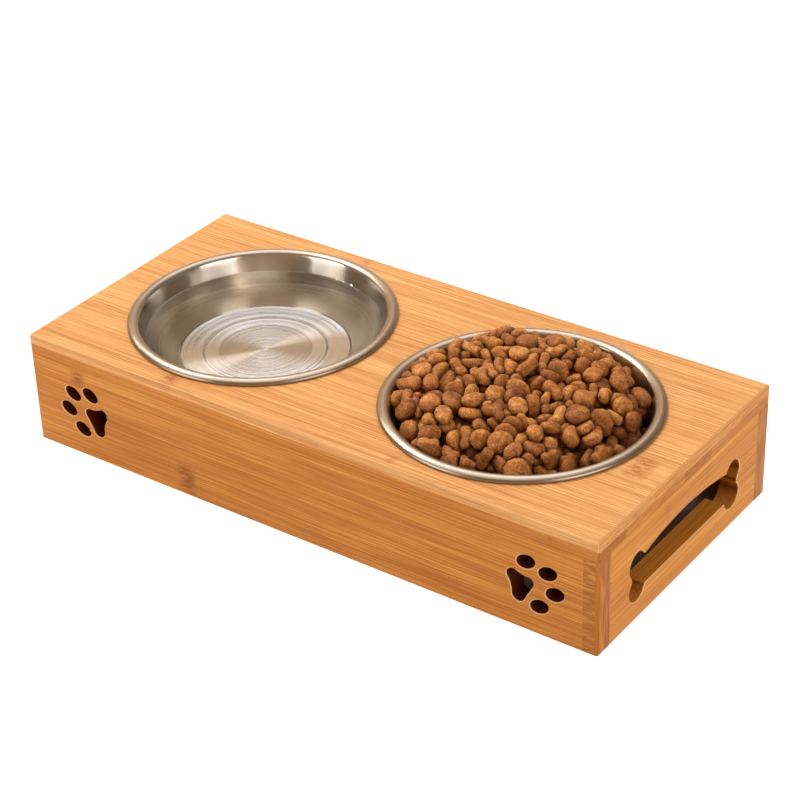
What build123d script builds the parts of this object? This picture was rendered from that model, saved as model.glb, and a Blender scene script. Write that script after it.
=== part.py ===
from build123d import *
import os
from math import atan2, cos, degrees, hypot, pi, radians, sin, sqrt, tan

os.makedirs("parts", exist_ok=True)

# Raised pet feeder: a bamboo box stand that holds two steel bowls by their rims, one heaped with kibble.
# Millimetres, +Z up, +X along the stand, the front panel faces -Y.
# The origin is the middle of the stand's footprint, on the surface that it stands on.

# Stand
stand_length = 386.0
stand_depth = 181.0
stand_height = 70.7
upper_ply_thickness = 6.0  # the top board is two plies, glued flat on each other
lower_ply_thickness = 6.0
panel_thickness = 12.0
corner_radius = 1.5  # the stand's upright corners
top_edge_radius = 1.5
joint_ease = 0.2  # small chamfer where two boards meet
cutout_ease = 0.5  # chamfer round the paw prints and the handle holes

# Paw prints through the front panel. Each is laid out about the middle of its pad, and its toes point along
# paw_axis. The left one is measured from the left end, and the right one is its mirror image.
paw_inset = 47.5  # pad's middle from the stand's end
paw_height = 26.7  # pad's middle above the floor
paw_axis = 159.0
toe_long = 5.95
toe_short = 4.2
toes = [(-55.6, 16.5), (-16.8, 21.7), (16.0, 21.7), (58.5, 15.4)]  # angle from the axis, reach
pad_lobes = [(-9.3, 6.5, 3.2), (116.6, 6.6, 4.1), (250.7, 6.4, 3.9)]  # angle from the axis, reach, radius
pad_waists = [80.0, 17.0, 14.0]  # radius of the hollow side after each lobe

# Bone-shaped handle hole through each end panel
bone_span = 102.0  # between the lobes' centres, along the panel
bone_lobe_radius = 7.85
bone_low_lobe = 18.95  # heights above the floor
bone_high_lobe = 34.1
bone_shaft_low = 17.8
bone_shaft_shoulder = 35.0
bone_shaft_crown = 42.0
bone_end_waist = 3.6  # radius of the hollow between the two lobes at an end
bone_neck_radius = 1.2  # where the shaft runs into a lobe

# Glued dowels
dowel_diameter = 6.0
dowel_in_board = 8.0  # depth in the top board, or in the front or back panel
dowel_in_panel = 14.0  # depth in the panel that it stands in
dowel_chamfer = 0.8
glue_gap = 0.05  # round the dowel
dowel_end_gap = 0.5
long_row_inset = 18.0  # outermost dowels of the front and back rows, from the stand's end
long_row_count = 4
short_row_inset = 9.5  # dowels at the top of each end panel, from the front or back panel
corner_dowel_heights = [14.0, 34.0]

# Bowls
bowl_offset = 89.8  # each bowl's centre from the middle of the pair
bowl_pair_middle = (-0.8, -0.4)  # the pair's middle on the top board
rim_radius = 79.4  # outside
rim_height = 3.2  # above the top board
rim_inner_radius = 72.9  # middle of the steel, where the wall turns out into the rim
rim_crest_radius = 76.3
rim_foot_radius = 76.6  # where the rolled edge ends, under the rim
rim_shoulder_drop = 1.1  # from the crest to where the wall turns out, and the bend's radius there
rim_shoulder_bend = 1.4
rim_edge_drop = 1.2  # from the crest to where the rim turns down at its outer edge
rim_edge_bend = 1.0
rim_lip_bend = 0.5  # where it turns in again, on the top board
rim_crown = 0.15  # the crest's own bend takes this much off its corner
rim_crown_bend = 4.0
steel_thickness = 0.8
bowl_depth = 39.6  # rim's crest to the floor of the bowl
wall_foot_radius = 61.3  # the upper wall's line, carried down to the floor
wall_flare = 38.0  # angle at which the wall leaves the floor
wall_bend_radius = 50.0  # the wide bend from there into the upper wall
floor_radius = 50.0
floor_bend = 1.5
ring_radius = 37.0  # the middle of the floor is pressed up inside this ring
ring_rise = 0.4
press_run = 1.2  # width of the pressed slope
press_radius = 0.8
bowl_hole_gap = 0.7  # between the bowl's wall and its hole in the top board

# Kibble
kibble_gap = 0.3
heap_edge_drop = 4.2  # below the rim's crest
heap_turn = 130.0  # way from the bowl's centre to the heap's top
heap_layers = [  # rise above the heap's edge, radius, and shift towards the top
    (4.5, 62.1, 3.3),
    (9.0, 49.7, 9.8),
    (13.0, 35.8, 18.3),
    (16.0, 19.2, 31.0),
]
piece_diameter = 12.0
piece_thickness = 6.5
piece_count = 62
piece_tilt = 16.0  # most that a piece leans to a side
piece_slope = 4.0  # lean away from the middle
heap_margin = 1.0  # between the outer pieces and the bowl's wall

# Worked out from those
bowl_centres = {
    "left_bowl": (bowl_pair_middle[0] - bowl_offset, bowl_pair_middle[1]),
    "right_bowl": (bowl_pair_middle[0] + bowl_offset, bowl_pair_middle[1]),
}
top_thickness = upper_ply_thickness + lower_ply_thickness
panel_height = stand_height - top_thickness
inner_depth = stand_depth - 2 * panel_thickness
long_row_reach = stand_length / 2 - long_row_inset
long_row_y = (stand_depth - panel_thickness) / 2
short_row_reach = inner_depth / 2 - short_row_inset
short_row_x = (stand_length - panel_thickness) / 2
floor_level = rim_height - bowl_depth  # inside floor, from the top board's upper face

# The steel's middle line, from the centre of the floor to the rolled edge, as heights above the top board
skin = steel_thickness / 2
floor_line = floor_level - skin
ring_line = floor_line - ring_rise
crest_line = rim_height - skin
shoulder_line = crest_line - rim_shoulder_drop
edge_line = crest_line - rim_edge_drop
rim_line = rim_radius - skin
wall_slope = (rim_inner_radius - wall_foot_radius) / (shoulder_line - ring_line)
flare = radians(wall_flare)


def wall_radius(level, inset):
    """Radius of the upper wall at a height above the top board, inset from the middle line."""
    return wall_foot_radius + wall_slope * (level - ring_line) - inset * hypot(1, wall_slope)


def flare_radius(level, inset):
    """The same for the lower wall, where it leaves the floor."""
    return floor_radius + (level - ring_line) / tan(flare) - inset / sin(flare)


def wall_bend(inset):
    """Corner where the lower wall's line meets the upper wall's, both inset."""
    apart = wall_radius(ring_line, inset) - flare_radius(ring_line, inset)
    level = ring_line + apart / (1 / tan(flare) - wall_slope)
    return wall_radius(level, inset), level


bowl_hole_radius = wall_radius(0, -skin) + bowl_hole_gap

# Dowel joints: each plane lies on the joint. Its normal points into the top board, or the front or back panel
long_row_step = 2 * long_row_reach / (long_row_count - 1)
long_row = [long_row_step * i - long_row_reach for i in range(long_row_count)]


def upright_joints(places):
    """Joints between a panel's top edge and the top board."""
    return [Plane(origin=(x, y, panel_height), z_dir=(0, 0, 1)) for x, y in places]


def corner_joints(end, face):
    """Joints between an end panel and the front or back panel."""
    y = face * inner_depth / 2
    return [Plane(origin=(end * short_row_x, y, z), z_dir=(0, face, 0)) for z in corner_dowel_heights]


joints = {
    "front_top_dowels": upright_joints([(x, -long_row_y) for x in long_row]),
    "back_top_dowels": upright_joints([(x, long_row_y) for x in long_row]),
    "left_top_dowels": upright_joints([(-short_row_x, y) for y in (-short_row_reach, short_row_reach)]),
    "right_top_dowels": upright_joints([(short_row_x, y) for y in (-short_row_reach, short_row_reach)]),
    "front_left_dowels": corner_joints(-1, -1),
    "front_right_dowels": corner_joints(1, -1),
    "back_left_dowels": corner_joints(-1, 1),
    "back_right_dowels": corner_joints(1, 1),
}
dowel_length = dowel_in_board + dowel_in_panel
hole_length = dowel_length + 2 * dowel_end_gap
hole_radius = dowel_diameter / 2 + glue_gap
from_base = (Align.CENTER, Align.CENTER, Align.MIN)


def bore(*names):
    """Dowel holes of some joints, as solids to cut away."""
    holes = Part()
    for name in names:
        for plane in joints[name]:
            start = plane.offset(-dowel_in_panel - dowel_end_gap)
            holes += start * Cylinder(hole_radius, hole_length, align=from_base, mode=Mode.PRIVATE)
    return holes


def lobed_outline(lobes, waists):
    """Closed outline round circles, joined by arcs that curve inwards and run smoothly into them.

    Lobes are (x, y, radius), anticlockwise. A waist is the radius of the arc from its lobe to the next.
    """
    arcs = []
    for (x1, y1, r1), (x2, y2, r2), waist in zip(lobes, lobes[1:] + lobes[:1], waists):
        span = hypot(x2 - x1, y2 - y1)
        along = ((r1 + waist) ** 2 - (r2 + waist) ** 2 + span**2) / (2 * span)
        out = sqrt((r1 + waist) ** 2 - along**2)
        ux, uy = (x2 - x1) / span, (y2 - y1) / span
        centre = Vector(x1 + along * ux + out * uy, y1 + along * uy - out * ux)
        start = Vector(x1, y1) + (centre - Vector(x1, y1)).normalized() * r1
        end = Vector(x2, y2) + (centre - Vector(x2, y2)).normalized() * r2
        middle = centre + ((start + end) * 0.5 - centre).normalized() * waist
        arcs.append((start, middle, end))
    edges = [Edge.make_three_point_arc(*arc) for arc in arcs]
    for (x, y, radius), before, after in zip(lobes, arcs[-1:] + arcs[:-1], arcs):
        first = atan2(before[2].Y - y, before[2].X - x)
        turn = (atan2(after[0].Y - y, after[0].X - x) - first) % (2 * pi)
        top = Vector(x + radius * cos(first + turn / 2), y + radius * sin(first + turn / 2))
        edges.append(Edge.make_three_point_arc(before[2], top, after[0]))
    return Wire.combine(edges)[0]


def polar(angle, reach):
    """Point of the paw print, from its pad's middle, at an angle from the way its toes point."""
    return reach * cos(radians(paw_axis + angle)), reach * sin(radians(paw_axis + angle))


# Paw print, about the middle of its pad
with BuildSketch() as paw_print:
    pad = [(*polar(angle, reach), radius) for angle, reach, radius in pad_lobes]
    add(Face(lobed_outline(pad, pad_waists)))
    with Locations(*[polar(angle, reach) for angle, reach in toes]):
        Ellipse(toe_long, toe_short, rotation=paw_axis)

# Handle hole, seen from the end: across the stand, and up from the floor
with BuildSketch() as bone:
    half = bone_span / 2
    with BuildLine():
        Polyline(
            (half, bone_shaft_shoulder),
            (half, bone_shaft_low),
            (-half, bone_shaft_low),
            (-half, bone_shaft_shoulder),
        )
        ThreePointArc((-half, bone_shaft_shoulder), (0, bone_shaft_crown), (half, bone_shaft_shoulder))
    make_face()
    for height in (bone_low_lobe, bone_high_lobe):
        with Locations((-half, height), (half, height)):
            Circle(bone_lobe_radius)
    ends = bone.vertices().filter_by(lambda v: abs(v.X) > half)
    fillet(ends, bone_end_waist)
    necks = bone.vertices().filter_by(lambda v: abs(v.X) < half and v.Z == 0)
    fillet(necks, bone_neck_radius)


# Top board: two plies, each with the two bowl holes
plies = {
    "lower_ply": (panel_height, lower_ply_thickness),
    "upper_ply": (panel_height + lower_ply_thickness, upper_ply_thickness),
}
for name, (level, thickness) in plies.items():
    with BuildPart() as ply:
        with BuildSketch(Plane.XY.offset(level)):
            RectangleRounded(stand_length, stand_depth, corner_radius)
            with Locations(*bowl_centres.values()):
                Circle(bowl_hole_radius, mode=Mode.SUBTRACT)
        extrude(amount=thickness)
        if name == "upper_ply":
            outline = ply.faces().sort_by(Axis.Z)[-1].outer_wire().edges()
            fillet(outline, top_edge_radius)
        else:
            outline = ply.faces().sort_by(Axis.Z)[0].outer_wire().edges()
            chamfer(outline, joint_ease)
        add(bore(*[joint for joint in joints if "_top_" in joint]), mode=Mode.SUBTRACT)
    ply.part.label = name
    export_step(ply.part, f"parts/{name}.step")

# Front and back panels: the full length of the stand, so their end grain shows at both ends
for name, face in (("front_panel", -1), ("back_panel", 1)):
    side = name.split("_")[0]
    outer_face = Plane(origin=(0, face * stand_depth / 2, 0), x_dir=(1, 0, 0), z_dir=(0, -1, 0))
    with BuildPart() as panel:
        with BuildSketch(outer_face):
            with Locations((0, panel_height / 2)):
                Rectangle(stand_length, panel_height)
        extrude(amount=face * panel_thickness)
        outer_corners = panel.edges().filter_by(Axis.Z).group_by(Axis.Y)[0 if face < 0 else -1]
        fillet(outer_corners, corner_radius)
        top_rim = panel.faces().sort_by(Axis.Z)[-1].outer_wire().edges()
        chamfer(top_rim, joint_ease)
        if side == "front":
            with BuildSketch(outer_face):
                with Locations((-stand_length / 2 + paw_inset, paw_height)):
                    add(paw_print.sketch)
                mirror(about=Plane.YZ)
            extrude(amount=-panel_thickness, mode=Mode.SUBTRACT)
            cut_edges = panel.faces().sort_by(Axis.Y)[0].inner_wires().edges()
            chamfer(cut_edges, cutout_ease)
        add(bore(f"{side}_top_dowels", f"{side}_left_dowels", f"{side}_right_dowels"), mode=Mode.SUBTRACT)
    panel.part.label = name
    export_step(panel.part, f"parts/{name}.step")

# End panels: between the front and back panels, each with a handle hole
for name, end in (("left_end_panel", -1), ("right_end_panel", 1)):
    side = name.split("_")[0]
    with BuildPart() as panel:
        with BuildSketch(Plane.YZ.offset(end * stand_length / 2)):
            with Locations((0, panel_height / 2)):
                Rectangle(inner_depth, panel_height)
            add(bone.sketch, mode=Mode.SUBTRACT)
        extrude(amount=-end * panel_thickness)
        outer = panel.faces().sort_by(Axis.X)[0 if end < 0 else -1]
        chamfer(outer.inner_wires().edges(), cutout_ease)
        outer = panel.faces().sort_by(Axis.X)[0 if end < 0 else -1]
        chamfer(outer.outer_wire().edges(), joint_ease)
        add(bore(f"{side}_top_dowels", f"front_{side}_dowels", f"back_{side}_dowels"), mode=Mode.SUBTRACT)
    panel.part.label = name
    export_step(panel.part, f"parts/{name}.step")

# Dowels: one node for each joint, as a group of separate pins
for name, planes in joints.items():
    with BuildPart() as dowels:
        with Locations(*[plane.offset(-dowel_in_panel) for plane in planes]):
            Cylinder(dowel_diameter / 2, dowel_length, align=from_base)
        chamfer(dowels.edges().filter_by(GeomType.CIRCLE), dowel_chamfer)
    dowels.part.label = name
    export_step(dowels.part, f"parts/{name}.step")

# Bowls: sheet steel of one thickness, turned round the upright axis of its hole
floor_bends = [press_radius, press_radius, floor_bend]
rim_bends = [rim_shoulder_bend, rim_crown_bend, rim_edge_bend, rim_lip_bend]
for name, (x, y) in bowl_centres.items():
    section = Plane(origin=(x, y, stand_height), x_dir=(1, 0, 0), z_dir=(0, -1, 0))
    with BuildPart() as bowl:
        with BuildSketch(section):
            with BuildLine():
                FilletPolyline(
                    (0, floor_line),
                    (ring_radius - press_run, floor_line),
                    (ring_radius, ring_line),
                    (floor_radius, ring_line),
                    wall_bend(0),
                    (rim_inner_radius, shoulder_line),
                    (rim_crest_radius, crest_line + rim_crown),
                    (rim_line, edge_line),
                    (rim_line, skin),
                    (rim_foot_radius, skin),
                    radius=floor_bends + [wall_bend_radius] + rim_bends,
                )
            trace(line_width=steel_thickness)
        revolve(axis=Axis((x, y, 0), (0, 0, 1)))
    bowl.part.label = name
    export_step(bowl.part, f"parts/{name}.step")

# Kibble: one heap that fills the right bowl and rises to a top behind its centre, in round layers. The pieces on
# it stand half out of it.
heap_inset = skin + kibble_gap
heap_floor = floor_level + kibble_gap
heap_edge = rim_height - heap_edge_drop
heap_radius = wall_radius(heap_edge, heap_inset)
heap_foot = flare_radius(heap_floor, heap_inset)
heap_x, heap_y = bowl_centres["right_bowl"]
heap_centre = Vector(heap_x, heap_y, stand_height)
with BuildPart() as kibble:
    with BuildSketch(Plane(origin=heap_centre, x_dir=(1, 0, 0), z_dir=(0, -1, 0))):
        with BuildLine():
            FilletPolyline(
                (0, heap_floor),
                (heap_foot, heap_floor),
                wall_bend(heap_inset),
                (heap_radius, heap_edge),
                radius=[floor_bend, wall_bend_radius - heap_inset],
            )
            Polyline((heap_radius, heap_edge), (0, heap_edge), (0, heap_floor))
        make_face()
    revolve(axis=Axis(heap_centre, (0, 0, 1)))
    for rise, radius, shift in [(0, heap_radius, 0), *heap_layers]:
        layer = heap_centre + Vector(shift, 0, heap_edge + rise).rotate(Axis.Z, heap_turn)
        with BuildSketch(Plane(layer)):
            Circle(radius)
    loft(ruled=True)
    piece_reach = heap_radius - heap_margin - piece_diameter / 2
    spots = []
    for i in range(piece_count):
        turn = i * pi * (3 - sqrt(5))
        place = Vector(piece_reach * sqrt((i + 0.5) / piece_count), 0, 0).rotate(Axis.Z, degrees(turn))
        hits = kibble.part.find_intersection_points(Axis(heap_centre + place, (0, 0, 1)))
        top = max(point.Z for point, _ in hits)
        lean = piece_tilt * cos(turn)
        spot = Location(heap_centre + place + Vector(0, 0, top - stand_height))
        spots.append(spot * Rotation(0, 0, degrees(turn)) * Rotation(lean, piece_slope, 0))
    with Locations(*spots):
        Cylinder(piece_diameter / 2, piece_thickness)
kibble.part.label = "kibble"
export_step(kibble.part, "parts/kibble.step")
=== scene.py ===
import bpy
import numpy as np
from math import cos, pi, radians, sin, sqrt, tan
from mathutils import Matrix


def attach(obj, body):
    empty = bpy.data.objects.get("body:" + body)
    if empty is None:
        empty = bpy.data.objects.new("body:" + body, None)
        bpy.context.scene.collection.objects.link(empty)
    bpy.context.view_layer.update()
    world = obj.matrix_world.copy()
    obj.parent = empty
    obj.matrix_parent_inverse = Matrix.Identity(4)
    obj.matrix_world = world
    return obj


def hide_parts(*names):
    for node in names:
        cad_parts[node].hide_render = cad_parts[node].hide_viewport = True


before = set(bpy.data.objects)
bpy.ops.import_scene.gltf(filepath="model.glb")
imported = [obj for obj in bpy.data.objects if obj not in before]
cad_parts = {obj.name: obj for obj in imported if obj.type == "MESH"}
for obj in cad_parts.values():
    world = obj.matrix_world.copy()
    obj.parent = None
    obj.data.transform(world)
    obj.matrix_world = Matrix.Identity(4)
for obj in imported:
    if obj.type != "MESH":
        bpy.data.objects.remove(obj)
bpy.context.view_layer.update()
mm = 0.001  # sizes below are in millimetres, and meshes in metres


def srgb(code):
    # linear = ((c + 0.055) / 1.055) ^ 2.4, or c / 12.92 near black, for each channel of the hex value
    c = np.array([int(code[i:i + 2], 16) for i in (1, 3, 5)]) / 255
    return (*np.where(c > 0.04045, ((c + 0.055) / 1.055) ** 2.4, c / 12.92).tolist(), 1.0)


def addNode(tree, kind, inputs=None, **settings):
    # one node with its settings; an input is a fixed value, or the socket that feeds it
    node = tree.nodes.new(kind)
    for key, value in settings.items():
        setattr(node, key, value)
    for key, value in (inputs or {}).items():
        if isinstance(value, bpy.types.NodeSocket):
            tree.links.new(value, node.inputs[key])
        else:
            node.inputs[key].default_value = value
    return node


def newMaterial(name):
    material = bpy.data.materials.new(name)
    material.use_nodes = True
    material.node_tree.nodes.clear()
    return material


def setRamp(node, stops):
    # stops are (place, colour) or (place, grey value), from left to right
    elements = node.color_ramp.elements
    while len(elements) < len(stops):
        elements.new(0.5)
    for element, (place, colour) in zip(elements, stops):
        element.position = place
        element.color = (colour, colour, colour, 1) if isinstance(colour, float) else colour
    return node.outputs["Color"]


def addObject(name, data):
    obj = bpy.data.objects.new(name, data)
    bpy.context.scene.collection.objects.link(obj)
    return obj


# camera, where the photographer stood
print("camera")
view = {
    "at": (674.03, -904.12, 742.41),  # mm
    "turn": (58.168, 1.690, 35.397),  # degrees about X, Y and Z
    "lens": 104.5, "film": 36.0,  # mm
    "farEnd": 50.0,  # metres
}
camera = addObject("camera", bpy.data.cameras.new("camera"))
camera.data.lens = view["lens"]
camera.data.sensor_width = view["film"]
camera.data.clip_end = view["farEnd"]
camera.location = [v * mm for v in view["at"]]
camera.rotation_euler = [radians(v) for v in view["turn"]]
bpy.context.scene.camera = camera


# bamboo
print("bamboo")


def bamboo(name, look):
    # Carbonised bamboo laminate under satin lacquer: straight fine fibres in flat strips, each a little
    # lighter or darker than the next, with short dark pores and a mottled scar where the cane had a joint.
    # Real fibre bundles are about 0.3 mm wide and pores 0.2 mm. They are too fine to show from here, so the
    # fibres are drawn about 0.8 mm wide, the lines between them 0.5 mm and the pores 0.4 mm
    material = newMaterial(name)
    tree = material.node_tree
    place = addNode(tree, "ShaderNodeTexCoord").outputs["Object"]
    inMm = addNode(tree, "ShaderNodeVectorMath", {0: place, "Scale": 1 / mm}, operation="SCALE").outputs[0]
    xyz = addNode(tree, "ShaderNodeSeparateXYZ", {0: inMm}).outputs
    along, across, deep = [xyz[look["axes"].index(axis)] for axis in "gsd"]
    facing = addNode(tree, "ShaderNodeTexCoord").outputs["Normal"]
    tilt = addNode(tree, "ShaderNodeVectorMath", {0: facing}, operation="ABSOLUTE").outputs[0]
    flat = addNode(tree, "ShaderNodeSeparateXYZ", {0: tilt}).outputs

    # the fibres wander by about a millimetre over the board's length
    slow = addNode(tree, "ShaderNodeMapping", {
        "Vector": addNode(tree, "ShaderNodeCombineXYZ", {0: along, 1: across}).outputs[0],
        "Location": (0, 0, look["seed"]), "Scale": (*look["swayScale"], 1)}).outputs[0]
    sway = addNode(tree, "ShaderNodeTexNoise", {"Vector": slow, "Scale": 1, "Detail": 1}).outputs["Fac"]
    waved = addNode(tree, "ShaderNodeMath", {0: sway, 1: look["sway"], 2: across},
                    operation="MULTIPLY_ADD").outputs[0]
    # faces cut across the fibres show streaks too: place across x (1 - endStretch on those faces)
    endGrain = flat[look["axes"].index("g")]
    squeeze = addNode(tree, "ShaderNodeMath", {0: endGrain, 1: -look["endStretch"], 2: 1.0},
                      operation="MULTIPLY_ADD").outputs[0]
    acrossGrain = addNode(tree, "ShaderNodeMath", {0: waved, 1: squeeze}, operation="MULTIPLY").outputs[0]
    grainPlace = addNode(tree, "ShaderNodeCombineXYZ", {0: along, 1: acrossGrain, 2: deep}).outputs[0]

    def grain(pattern):
        # noise stretched along the fibres
        perAlong, perAcross, detail, seed = look["grain"][pattern]
        stretched = addNode(tree, "ShaderNodeMapping", {
            "Vector": grainPlace, "Location": (seed, seed * 0.7, look["seed"]),
            "Scale": (perAlong, perAcross, perAcross)}).outputs[0]
        return addNode(tree, "ShaderNodeTexNoise", {
            "Vector": stretched, "Scale": 1, "Detail": detail, "Roughness": 0.6}).outputs["Fac"]

    fibres = grain("fibres")

    # strips: each has its own tone
    strip = addNode(tree, "ShaderNodeMath", {
        0: addNode(tree, "ShaderNodeMath", {0: across, 1: look["stripStart"]},
            operation="SUBTRACT").outputs[0],
        1: look["stripWidth"]}, operation="DIVIDE").outputs[0]
    stripNumber = addNode(tree, "ShaderNodeMath", {0: strip}, operation="FLOOR").outputs[0]
    stripTone = addNode(tree, "ShaderNodeTexWhiteNoise", {
        "W": addNode(tree, "ShaderNodeMath", {0: stripNumber, 1: look["seed"]}, operation="ADD").outputs[0]},
        noise_dimensions="1D").outputs["Value"]

    # tone = 0.5 + the sum of (pattern - 0.5) x its weight
    tone = 0.5
    for pattern, weight in ((fibres, look["fibres"]), (grain("streaks"), look["streaks"]),
                            (grain("clouds"), look["clouds"]), (stripTone, look["strips"])):
        shift = addNode(tree, "ShaderNodeMath", {0: pattern, 1: 0.5}, operation="SUBTRACT").outputs[0]
        tone = addNode(tree, "ShaderNodeMath", {0: shift, 1: weight, 2: tone},
            operation="MULTIPLY_ADD").outputs[0]
    colour = setRamp(addNode(tree, "ShaderNodeValToRGB", {0: tone}), [
        (0.12, srgb(look["dark"])), (0.5, srgb(look["middle"])), (0.88, srgb(look["light"]))])
    layers = []  # what is laid over the wood, in this order: mask, colour and how

    # fibre lines: dark where a noise crosses its middle value, so they are thin, long and not quite parallel
    fromMiddle = addNode(tree, "ShaderNodeMath", {0: grain("lines"), 1: 0.5}, operation="SUBTRACT").outputs[0]
    lineMask = setRamp(addNode(tree, "ShaderNodeValToRGB", {
        0: addNode(tree, "ShaderNodeMath", {0: fromMiddle}, operation="ABSOLUTE").outputs[0]}), [
        (0.0, look["lines"]), (look["lineEdge"], 0.0)])
    layers.append((lineMask, look["pore"], "MIX"))

    # pores: short dark dashes
    poreMask = setRamp(addNode(tree, "ShaderNodeValToRGB", {0: grain("pores")}), [
        (0.56, 0.0), (0.72, look["pores"])])
    layers.append((poreMask, look["pore"], "MIX"))

    # scars of the cane's joints: patches of short dark spots, each given by its place along and across, half
    # length, half width and strength
    mottle = addNode(tree, "ShaderNodeTexNoise", {
        "Vector": addNode(tree, "ShaderNodeMapping", {
            "Vector": grainPlace, "Scale": look["mottle"]}).outputs[0],
        "Scale": 1, "Detail": 3, "Roughness": 0.65, "Distortion": 0.4}).outputs["Fac"]
    mottleMask = setRamp(addNode(tree, "ShaderNodeValToRGB", {0: mottle}), [(0.45, 0.0), (0.53, 1.0)])
    for middle, level, halfLong, halfWide, strength in look["scars"]:
        # mask = strength x (1 - u^2) x (1 - v^4) x (0.25 + 0.75 x spots), never under 0, where
        # u = (along - middle) / half length + ragged x (spots - 0.5) and v = (across - level) / half width
        ragged = addNode(tree, "ShaderNodeMath", {
            0: mottle, 1: look["ragged"], 2: -middle / halfLong - look["ragged"] / 2},
            operation="MULTIPLY_ADD").outputs[0]
        u = addNode(tree, "ShaderNodeMath", {0: along, 1: 1 / halfLong, 2: ragged},
                    operation="MULTIPLY_ADD").outputs[0]
        v = addNode(tree, "ShaderNodeMath", {0: across, 1: 1 / halfWide, 2: -level / halfWide},
                    operation="MULTIPLY_ADD").outputs[0]
        u2 = addNode(tree, "ShaderNodeMath", {0: u, 1: u}, operation="MULTIPLY").outputs[0]
        v2 = addNode(tree, "ShaderNodeMath", {0: v, 1: v}, operation="MULTIPLY").outputs[0]
        v4 = addNode(tree, "ShaderNodeMath", {0: v2, 1: v2}, operation="MULTIPLY").outputs[0]
        inU = addNode(tree, "ShaderNodeMath", {0: 1.0, 1: u2},
            operation="SUBTRACT", use_clamp=True).outputs[0]
        inV = addNode(tree, "ShaderNodeMath", {0: 1.0, 1: v4},
            operation="SUBTRACT", use_clamp=True).outputs[0]
        inside = addNode(tree, "ShaderNodeMath", {0: inU, 1: inV}, operation="MULTIPLY").outputs[0]
        spots = addNode(tree, "ShaderNodeMath", {0: mottleMask, 1: 0.75 * strength, 2: 0.25 * strength},
                        operation="MULTIPLY_ADD").outputs[0]
        mask = addNode(tree, "ShaderNodeMath", {0: spots, 1: inside}, operation="MULTIPLY").outputs[0]
        layers.append((mask, look["scar"], "MIX"))

    # the saw tore the fibres near the end of a face: short dark dashes from low to high on one axis
    for axis, low, high, strength in look["torn"]:
        inside = addNode(tree, "ShaderNodeMath", {0: xyz[axis], 1: (low + high) / 2, 2: (high - low) / 2},
                         operation="COMPARE").outputs[0]
        dashes = setRamp(addNode(tree, "ShaderNodeValToRGB", {0: grain("torn")}), [
            (0.45, 0.15 * strength), (0.56, strength)])
        amount = addNode(tree, "ShaderNodeMath", {0: inside, 1: dashes}, operation="MULTIPLY").outputs[0]
        layers.append((amount, look["scar"], "MIX"))

    # the faces cut across the fibres show whole strips of wood, each from low to high on one axis
    for axis, low, high, shade in look["endBands"]:
        inside = addNode(tree, "ShaderNodeMath", {0: xyz[axis], 1: (low + high) / 2, 2: (high - low) / 2},
                         operation="COMPARE").outputs[0]
        band = addNode(tree, "ShaderNodeMath", {0: inside, 1: endGrain}, operation="MULTIPLY").outputs[0]
        layers.append((band, shade, "MULTIPLY"))

    # painted shade on the walls of the cut-outs, which lie in the recess: they face inwards, so the part of
    # their normal along the board's thickness is small. cutSill says how much less shade their level parts
    # get
    if "paintedCutShade" in look:
        axis, reach = look["cutInside"]
        within = addNode(tree, "ShaderNodeMath", {0: xyz[axis], 1: 0.0, 2: reach},
            operation="COMPARE").outputs[0]
        middle, halfHigh = look["cutHeight"]
        height = addNode(tree, "ShaderNodeMath", {0: xyz[2], 1: middle, 2: halfHigh},
            operation="COMPARE").outputs[0]
        inwards = addNode(tree, "ShaderNodeMath", {0: flat[look["faceAxis"]], 1: look["inwards"]},
                          operation="LESS_THAN").outputs[0]
        zone = addNode(tree, "ShaderNodeMath", {0: within, 1: height}, operation="MULTIPLY").outputs[0]
        shown = addNode(tree, "ShaderNodeMath", {0: flat[2], 1: -look["cutSill"], 2: 1.0},
                        operation="MULTIPLY_ADD").outputs[0]
        cut = addNode(tree, "ShaderNodeMath", {
            0: addNode(tree, "ShaderNodeMath", {0: zone, 1: inwards}, operation="MULTIPLY").outputs[0],
            1: shown}, operation="MULTIPLY").outputs[0]
        layers.append((cut, look["paintedCutShade"], "MULTIPLY"))

    # painted highlight on chamfers, where they catch the light, and a darker edge colour on the lower ply:
    # 1 - the largest part of the normal is 0 on a flat face and 0.3 on a chamfer
    largest = addNode(tree, "ShaderNodeMath", {
        0: addNode(tree, "ShaderNodeMath", {0: flat[0], 1: flat[1]}, operation="MAXIMUM").outputs[0],
        1: flat[2]}, operation="MAXIMUM").outputs[0]
    edgeLightMask = setRamp(addNode(tree, "ShaderNodeValToRGB", {0: largest}), [(0.75, look["edge"]), (0.97, 0.0)])
    if "paintedCutShade" in look:
        # on panels only round the cut-outs, and not on their own curved walls
        chamfer = addNode(tree, "ShaderNodeMath", {0: zone, 1: inwards}, operation="SUBTRACT",
                          use_clamp=True).outputs[0]
        edgeLightMask = addNode(tree, "ShaderNodeMath", {0: edgeLightMask, 1: chamfer}, operation="MULTIPLY").outputs[0]
    layers.append((edgeLightMask, look["paintedEdgeLight"], "MIX"))
    for mask, shade, blend in layers:
        colour = addNode(tree, "ShaderNodeMix", {0: mask, 6: colour, 7: srgb(shade)},
                         data_type="RGBA", blend_type=blend).outputs[2]

    # roughness = middle value + swing x (fibres - 0.5)
    roughness = addNode(tree, "ShaderNodeMath", {
        0: fibres, 1: look["roughSwing"], 2: look["roughness"] - look["roughSwing"] / 2},
        operation="MULTIPLY_ADD").outputs[0]
    relief = addNode(tree, "ShaderNodeMath", {0: poreMask, 1: -look["poreDepth"], 2: fibres},
                     operation="MULTIPLY_ADD").outputs[0]
    bump = addNode(tree, "ShaderNodeBump", {
        "Height": relief, "Strength": look["bump"], "Distance": look["fibreDepth"] * mm}).outputs[0]
    shader = addNode(tree, "ShaderNodeBsdfPrincipled", {
        "Base Color": colour, "Roughness": roughness, "Normal": bump, "IOR": 1.5, "Specular IOR Level": 0.1})
    addNode(tree, "ShaderNodeOutputMaterial", {"Surface": shader.outputs[0]})
    return material


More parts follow.
